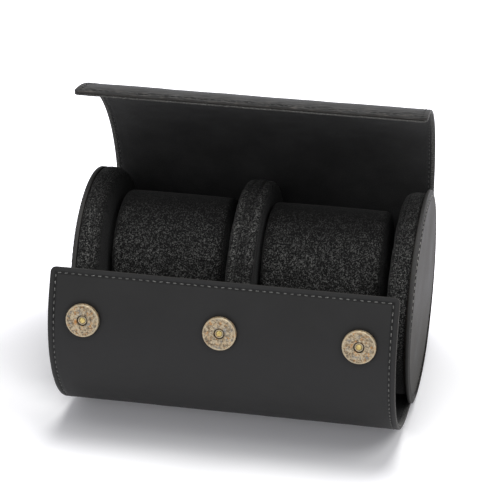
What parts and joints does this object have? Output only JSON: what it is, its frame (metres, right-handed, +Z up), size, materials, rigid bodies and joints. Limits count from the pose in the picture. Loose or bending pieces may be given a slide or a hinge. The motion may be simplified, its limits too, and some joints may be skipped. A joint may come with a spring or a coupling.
{
  "type": "watch travel case",
  "caption": "Travel case for watches: a leather wrap round padded end walls and a divider, with removable soft pillows, a lid and a front flap closed by magnetic snaps.",
  "frame": {"origin": "on the lowest line of the wrap, at the middle of its width, straight under the axis of the end walls", "axes": "+X along the case towards its right end wall, -Y towards the front flap, +Z up"},
  "size_m": [0.1602, 0.1334, 0.1454],
  "materials": {
    "leather": "dark charcoal pebbled leather, matt",
    "lining": "black short-pile microfibre lining",
    "velvet": "black velvet",
    "board": "grey-brown stiff board",
    "foam": "soft grey foam",
    "snap_brass": "aged antique brass",
    "rivet_brass": "yellow brass",
    "steel": "plain steel"
  },
  "bodies": {
    "case": {"wrap_leather": "leather", "wrap_lining": "lining", "end_disc_left": "leather", "end_disc_right": "leather", "end_board_left": "board", "end_board_right": "board", "end_pad_left": "velvet", "end_pad_right": "velvet", "divider_board": "board", "divider_gusset": "velvet", "divider_face_left": "velvet", "divider_face_right": "velvet"},
    "flap_heel": {"heel_leather": "leather", "heel_lining": "lining"},
    "flap_toe": {"toe_leather": "leather", "toe_lining": "lining"},
    "front_flap": {"flap_leather": "leather", "flap_lining": "lining", "socket_faces": "snap_brass", "socket_magnets": "steel", "socket_rivets": "rivet_brass", "socket_washers": "steel"},
    "lid_heel": {"lid_heel_leather": "leather", "lid_heel_lining": "lining"},
    "lid_back": {"lid_back_leather": "leather", "lid_back_lining": "lining"},
    "lid_bow": {"lid_bow_leather": "leather", "lid_bow_lining": "lining"},
    "lid_lip": {"lid_lip_leather": "leather", "lid_lip_lining": "lining", "stud_faces": "snap_brass", "stud_rivets": "rivet_brass", "stud_washers": "steel"},
    "pillow_left": {"pillow_cover_left": "velvet", "pillow_core_left": "foam"},
    "pillow_right": {"pillow_cover_right": "velvet", "pillow_core_right": "foam"}
  },
  "joints": [
    {"name": "flap_close", "type": "hinge", "parent": "case", "child": "flap_heel", "pos_m": [0, -0.006, 0.001], "axis": [-1, 0, 0], "range_deg": [0, 10.5]},
    {"name": "flap_toe_bend", "type": "hinge", "parent": "flap_heel", "child": "flap_toe", "pos_m": [0, -0.01996, 0.00109], "axis": [-1, 0, 0], "range_deg": [0, 10.22]},
    {"name": "flap_front_bend", "type": "hinge", "parent": "flap_toe", "child": "front_flap", "pos_m": [0, -0.0366, 0.00335], "axis": [-1, 0, 0], "range_deg": [0, 17.82]},
    {"name": "lid_close", "type": "hinge", "parent": "case", "child": "lid_heel", "pos_m": [0, 0.0478, 0.0558], "axis": [1, 0, 0], "range_deg": [0, 14.3]},
    {"name": "lid_back_bend", "type": "hinge", "parent": "lid_heel", "child": "lid_back", "pos_m": [0, 0.04689, 0.07863], "axis": [1, 0, 0], "range_deg": [0, 17.32]},
    {"name": "lid_bow_bend", "type": "hinge", "parent": "lid_back", "child": "lid_bow", "pos_m": [0, 0.03921, 0.10508], "axis": [1, 0, 0], "range_deg": [0, 6.42]},
    {"name": "lid_lip_bend", "type": "hinge", "parent": "lid_bow", "child": "lid_lip", "pos_m": [0, 0.02128, 0.1284], "axis": [1, 0, 0], "range_deg": [0, 16.62]},
    {"name": "pillow_left_lift", "type": "slide", "parent": "case", "child": "pillow_left", "axis": [0, 0, 1], "range_m": [0, 0.007]},
    {"name": "pillow_right_lift", "type": "slide", "parent": "case", "child": "pillow_right", "axis": [0, 0, 1], "range_m": [0, 0.007]}
  ],
  "couplings": [
    {"joint": "flap_toe_bend", "follows": "flap_close", "ratio": 0.97143},
    {"joint": "flap_front_bend", "follows": "flap_close", "ratio": 1.6952},
    {"joint": "lid_back_bend", "follows": "lid_close", "ratio": 1.2098},
    {"joint": "lid_bow_bend", "follows": "lid_close", "ratio": 0.44755},
    {"joint": "lid_lip_bend", "follows": "lid_close", "ratio": 1.1608}
  ]
}
